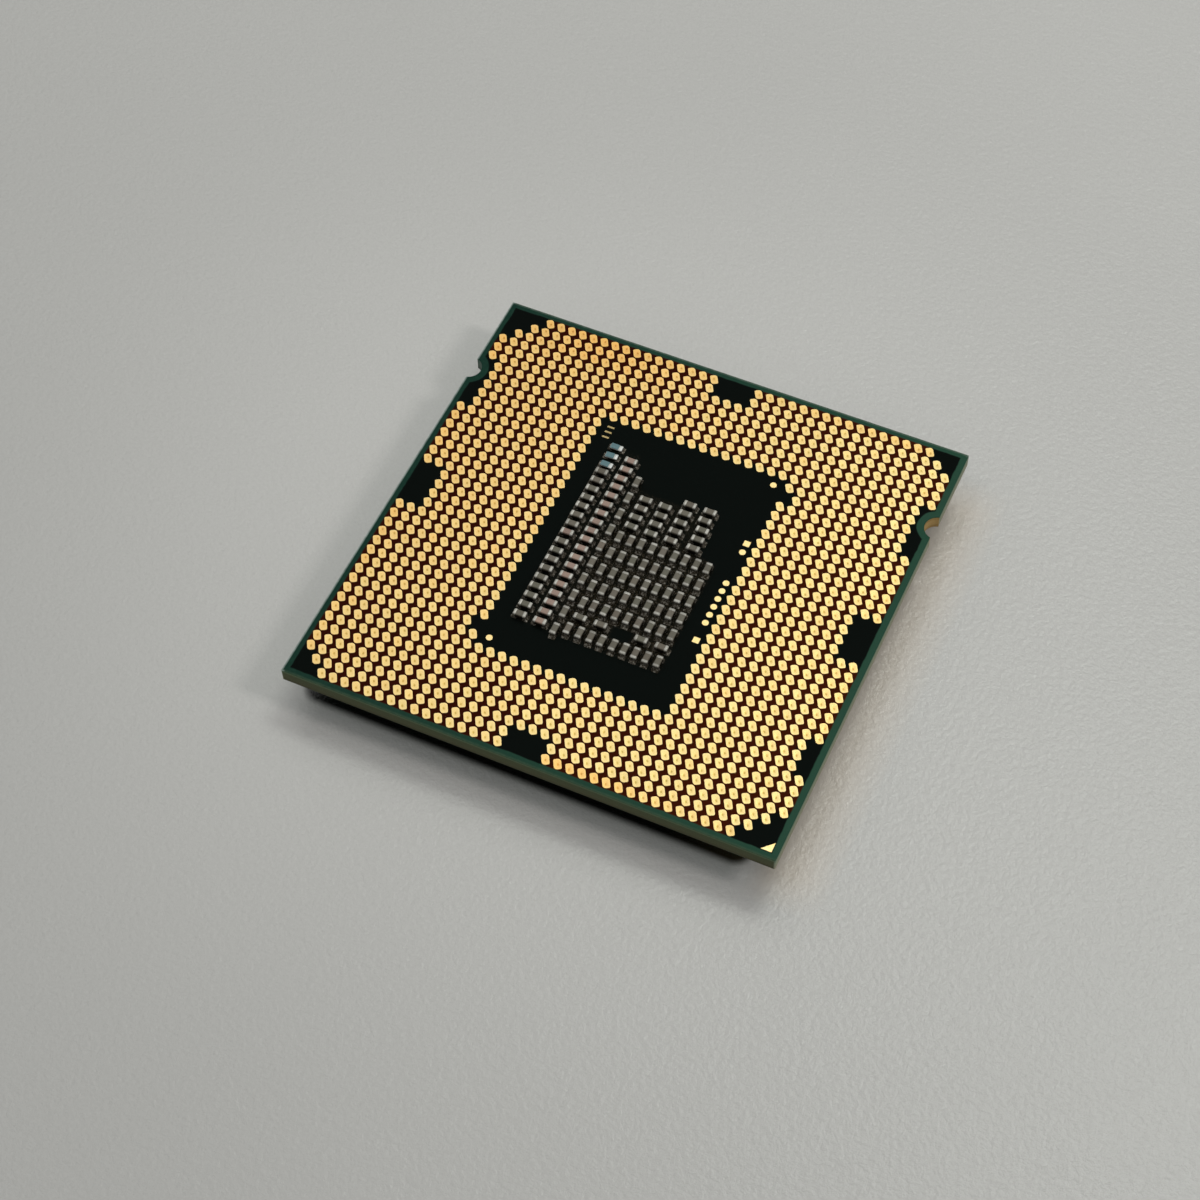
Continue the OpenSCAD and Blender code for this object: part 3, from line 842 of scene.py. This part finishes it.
def chip_body(b, h):
    z0, z1 = SOLDER_T + END_T, SOLDER_T + h - END_T
    hy = CHIP_W / 2 - END_T
    r = min(0.07, (z1 - z0) * 0.3)
    x = CHIP_L / 2 - END_T
    s = section(hy, z0, z1, r)
    k = section(hy - 0.012, z0 + 0.012, z1 - 0.012, r)
    rings = [b.ring_x(-x, k), b.ring_x(-x + 0.012, s), b.ring_x(x - 0.012, s), b.ring_x(x, k)]
    b.cap(rings[0], flip=True)
    for p, q in zip(rings, rings[1:]):
        b.band(p, q)
    b.cap(rings[-1])


def chip_end(b, h):
    """A plated cup over one end of the block."""
    z0, z1 = SOLDER_T, SOLDER_T + h
    hy = CHIP_W / 2
    x0, x1 = CHIP_L / 2 - END_L + (0.02 if h == CAP_H else 0.0), CHIP_L / 2
    ri = min(0.07, (h - 2 * END_T) * 0.3)
    ro = ri + END_T
    inner = section(hy - END_T + 0.0005, z0 + END_T - 0.0005, z1 - END_T + 0.0005, ri)
    def outer(d):
        return section(hy - d, z0 + d, z1 - d, min(max(ro - d * 0.3, 0.03), (z1 - z0 - 2 * d) * 0.45))
    rings = [b.ring_x(x1 - END_T, inner), b.ring_x(x0, inner), b.ring_x(x0, outer(0.008)),
             b.ring_x(x0 + 0.012, outer(0.0)), b.ring_x(x1 - 0.075, outer(0.0)),
             b.ring_x(x1 - 0.032, outer(0.015)), b.ring_x(x1 - 0.008, outer(0.042)), b.ring_x(x1, outer(0.08))]
    b.cap(rings[0], flip=True)
    for p, q in zip(rings, rings[1:]):
        b.band(p, q)
    b.cap(rings[-1])


def chip_joint(b, h):
    """A solder joint: a foot on the board that curves up the outside of the chip's end."""
    rise = min(h * 0.62, 0.30)
    x0, x1, hy = CHIP_L / 2 - END_L - 0.02, CHIP_L / 2, CHIP_W / 2
    rings = []
    for t in (0.0, 0.04, 0.14, 0.32, 0.6, 1.0):
        out = (1 - t) ** 2.4
        a, c = x0 - 0.01 * out, x1 + FILLET_L * out - 0.004 * t
        w = hy + 0.035 * out - 0.004 * t
        z = SOLDER_T * 0.35 * min(1.0, t / 0.04) + (SOLDER_T * 0.65 + rise) * t
        if t > 0.14:
            a = x0 + 0.03
        pts = rounded(c - a, 2 * w, 0.09, 3)
        rings.append(b.ring([(p + (a + c) / 2, q) for p, q in pts], z))
    b.cap(rings[0], flip=True)
    for p, q in zip(rings, rings[1:]):
        b.band(p, q)
    b.cap(rings[-1])


def resistor_coat(b):
    """Glaze that laps over one end and stops short of the other."""
    z0, z1 = SOLDER_T + RES_H - COAT_T - END_T, SOLDER_T + RES_H
    inner = CHIP_L / 2 - END_L
    x0, x1, y = -inner - COAT_LAP, inner - COAT_SHORT, CHIP_W / 2 - END_T
    def level(d):
        return [(p + (x0 + x1) / 2, q) for p, q in rounded(x1 - x0 - 2 * d, 2 * y - 2 * d, 0.05 + 0.3 * d, 3)]
    rings = [b.ring(level(d), z) for z, d in
             [(z0, 0.0), (z1 - 0.020, 0.0), (z1 - 0.007, 0.012), (z1 - 0.001, 0.034), (z1, 0.07)]]
    b.cap(rings[0], flip=True)
    for p, q in zip(rings, rings[1:]):
        b.band(p, q)
    b.cap(rings[-1])


def build_bank(name, nodes, places, h, body_mat, body_slot, seed, bright=0.5, warm_at=(), coat=False):
    rng = random.Random(seed)
    bodies, ends, joints, coats = Builder(), Builder(), Builder(), Builder()
    for x, y, turn in places:
        jx, jy, jt = rng.gauss(0, 0.012), rng.gauss(0, 0.012), rng.gauss(0, 0.7)
        place = Matrix.Translation((x + jx, y + jy, Z_TOP)) @ Matrix.Rotation(math.radians(turn + jt), 4, "Z")
        tone = min(max(0.5 + rng.gauss(0, 0.22), 0), 1)
        warm = 1.0 if any(abs(y - w) < 0.4 for w in warm_at) else max(0.0, rng.gauss(0.04, 0.08))
        bodies.now = (tone, warm, rng.random())
        bodies.place = place
        chip_body(bodies, h)
        for s in (0, 180):
            t = min(max(bright + rng.gauss(0, 0.16), 0), 1)
            turned_place = place @ Matrix.Rotation(math.radians(s), 4, "Z")
            ends.now, ends.place = (t, 0.0, 0.0), turned_place
            chip_end(ends, h)
            joints.place = turned_place
            chip_joint(joints, h)
        if coat:
            coats.place = place
            resistor_coat(coats)
    piece(name + "_blocks", bodies.mesh(name + "_blocks", [body_mat], 40, "chip"), body_slot, nodes + "_bodies")
    piece(name + "_caps", ends.mesh(name + "_caps", [TIN_LOW if coat else TIN], 50, "chip"), "tin", nodes + "_ends")
    piece(name + "_joints", joints.mesh(name + "_joints", [JOINT], 50), "solder", nodes + "_solder")
    if coat:
        piece(name + "_glaze", coats.mesh(name + "_glaze", [BLUE], 40), "blue_coat", nodes + "_coats")


build_bank("resistors", "resistor", RESISTORS, RES_H - COAT_T, WHITE, "white_ceramic", 3, bright=1.0, coat=True)
build_bank("left_chips", "left_column", LEFT, CAP_H, GREY, "grey_ceramic", 5, bright=0.64, warm_at=(0.05,))
build_bank("tan_chips", "tan_column", TAN, CAP_H, ROSE, "tan_ceramic", 7, bright=0.74)
build_bank("spine_chips", "spine_column", SPINE, CAP_H, GREY, "grey_ceramic", 11, bright=0.33)
build_bank("upper_chips", "upper_block", UPPER, CAP_H, GREY, "grey_ceramic", 13, bright=0.64)
build_bank("core_chips", "core_block", CORE, CAP_H, GREY, "grey_ceramic", 17, bright=0.32)
build_bank("cross_chips", "cross_row", CROSS, CAP_H, GREY, "grey_ceramic", 19, bright=0.38)


# ------------------------------------------------------------------ parts kept from the frame
def dress(node, mat):
    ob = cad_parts[node]
    ob.data.materials.clear()
    ob.data.materials.append(mat.m)


dress("lid_seal", resin("black_seal", (0.010, 0.010, 0.010), (0.022, 0.022, 0.021), 0.55))
dress("underfill", resin("dark_resin", (0.014, 0.012, 0.010), (0.030, 0.026, 0.020), 0.35))
dress("silicon_die", soft_metal("die_silicon", (0.17, 0.175, 0.19), (0.22, 0.225, 0.24), 0.18, 3.0, 0.002))
dress("thermal_joint", soft_metal("joint_metal", (0.52, 0.52, 0.54), (0.66, 0.66, 0.68), 0.4, 2.0, 0.02))
dress("die_bumps", soft_metal("bump_solder", (0.45, 0.45, 0.45), (0.60, 0.60, 0.60), 0.35, 12.0, 0.006))


# ------------------------------------------------------------------ floor
def build_floor():
    m = Mat("pale_table", rough=0.24, spec=0.5)
    peel = m.noise(2.2, 3.0, 0.55)
    fine = m.noise(9.0, 3.0, 0.55)
    broad = m.noise(0.02, 2.0, 0.5)
    x, y, z = m.xyz()
    # painted light: the floor's colour grows lighter towards the back, with a broad mottle
    painted_light_and_mottle = m.math("ADD", m.span(y, -70.0, 130.0, 0.0, 0.8), m.span(broad, 0.3, 0.7, 0.0, 0.2))
    col = m.ramp(painted_light_and_mottle, [(0.0, (0.545, 0.540, 0.533)), (1.0, (0.632, 0.628, 0.620))])
    speck = m.noise(4.5, 3.0, 0.6)
    col = m.mix(m.span(speck, 0.35, 0.65, 0.0, 0.20), col, (0.45, 0.445, 0.435))
    # painted light: a pool of light painted on the floor round a point under the part, fading over 54 mm, and the floor
    # painted lighter to the right and to the back
    dx, dy = m.math("ADD", x, 6.3), m.math("SUBTRACT", y, 2.0)
    far = m.math("SQRT", m.math("ADD", m.math("MULTIPLY", dx, dx), m.math("MULTIPLY", dy, dy)))
    tone = m.math("ADD", m.span(far, 0.0, 54.0, 1.17, 0.98, True), m.math("ADD", m.span(x, -75.0, 55.0, -0.06, 0.044), m.span(y, -60.0, 75.0, -0.054, 0.068)))
    shade = m.nt.nodes.new("ShaderNodeCombineColor")
    for s in shade.inputs:
        m.put(s, tone)
    col = m.mix(1.0, col, shade.outputs[0], "MULTIPLY")
    # warm bounce light painted on the floor next to the board's right edge
    painted_warm_bounce = m.math("MULTIPLY", m.span(x, 19.5, 22.5, 0.8, 0.0), m.math("MULTIPLY", m.span(x, 16.5, 18.0), m.span(m.math("ABSOLUTE", y), 17.0, 20.0, 1.0, 0.0)))
    col = m.mix(painted_warm_bounce, col, (0.735, 0.655, 0.575))
    # a painted shadow: the floor is painted dark under the part, towards its front edge, and brownish at its right end
    qx = m.math("MAXIMUM", m.math("SUBTRACT", m.math("ABSOLUTE", m.math("ADD", x, 1.0)), 16.0), 0.0)
    qy = m.math("MAXIMUM", m.math("SUBTRACT", m.math("ABSOLUTE", y), 16.4), 0.0)
    out = m.math("SUBTRACT", m.math("SQRT", m.math("ADD", m.math("MULTIPLY", qx, qx), m.math("MULTIPLY", qy, qy))), 1.5)
    lit = m.math("MAXIMUM", m.span(out, -0.46, 0.28, 0.0, 1.0, True), m.span(y, -14.0, -4.0, 0.0, 1.0, True))
    m.set("Base Color", m.mix(lit, m.mix(m.span(x, 10.0, 16.5), (0.004, 0.004, 0.003), (0.036, 0.028, 0.014)), col))
    m.set("Roughness", m.span(fine, 0.3, 0.7, 0.20, 0.28))
    m.set("Normal", m.bump(m.math("ADD", m.math("MULTIPLY", peel, 0.8), m.math("MULTIPLY", fine, 0.2)), 0.10, 0.8))
    me = bpy.data.meshes.new("table")
    s = 3.0
    me.from_pydata([(-s, -s, 0), (s, -s, 0), (s, s, 0), (-s, s, 0)], [], [(0, 1, 2, 3)])
    me.materials.append(m.m)
    ob = bpy.data.objects.new("table", me)
    ob.location.z = -0.00001
    scene.collection.objects.link(ob)


build_floor()


# ------------------------------------------------------------------ light
def panel(name, x, y, sx, sy, watts, colour, z=1.0):
    """A flat ceiling panel that faces straight down."""
    d = bpy.data.lights.new(name, "AREA")
    d.shape = "RECTANGLE"
    d.size, d.size_y = sx, sy
    d.energy = watts
    d.color = colour
    ob = bpy.data.objects.new(name, d)
    ob.location = (x, y, z)
    scene.collection.objects.link(ob)


panel("back_panel", 0.155, 0.508, 0.40, 0.25, 2.25, (0.95, 1.0, 0.93))
panel("front_left_panel", -0.29, -0.27, 0.18, 0.29, 0.75, (0.98, 1.0, 1.0))
panel("right_panel", 0.96, 0.08, 0.38, 0.19, 4.3, (1.0, 0.945, 0.91))
panel("ceiling_glow", -0.32, 0.52, 1.0, 1.0, 2.35, (1.0, 1.0, 0.965))

world = bpy.data.worlds.new("room")
world.use_nodes = True
bg = world.node_tree.nodes["Background"]
bg.inputs["Color"].default_value = (0.985, 1.0, 0.965, 1)
bg.inputs["Strength"].default_value = 0.315
scene.world = world
scene.view_settings.view_transform = "Standard"
scene.view_settings.look = "None"


# ------------------------------------------------------------------ camera
cam = bpy.data.cameras.new("camera")
cam.lens, cam.sensor_width, cam.sensor_fit = 77.21, 36.0, "HORIZONTAL"
cam.clip_start, cam.clip_end = 0.005, 20.0
cam.shift_x, cam.shift_y = -0.5 / 1200, 0.5 / 1200
cam_ob = bpy.data.objects.new("camera", cam)
right = Vector((0.90863633, 0.41718797, -0.01828141))
up = -Vector((0.33230698, -0.74889006, -0.57335482))
back = -Vector((-0.2528875, 0.51489598, -0.81910319))
turn = Matrix((right, up, back)).transposed().to_4x4()
cam_ob.matrix_world = Matrix.Translation((0.0456997, -0.0987507, 0.1503328 + 0.00433)) @ turn
scene.collection.objects.link(cam_ob)
scene.camera = cam_ob
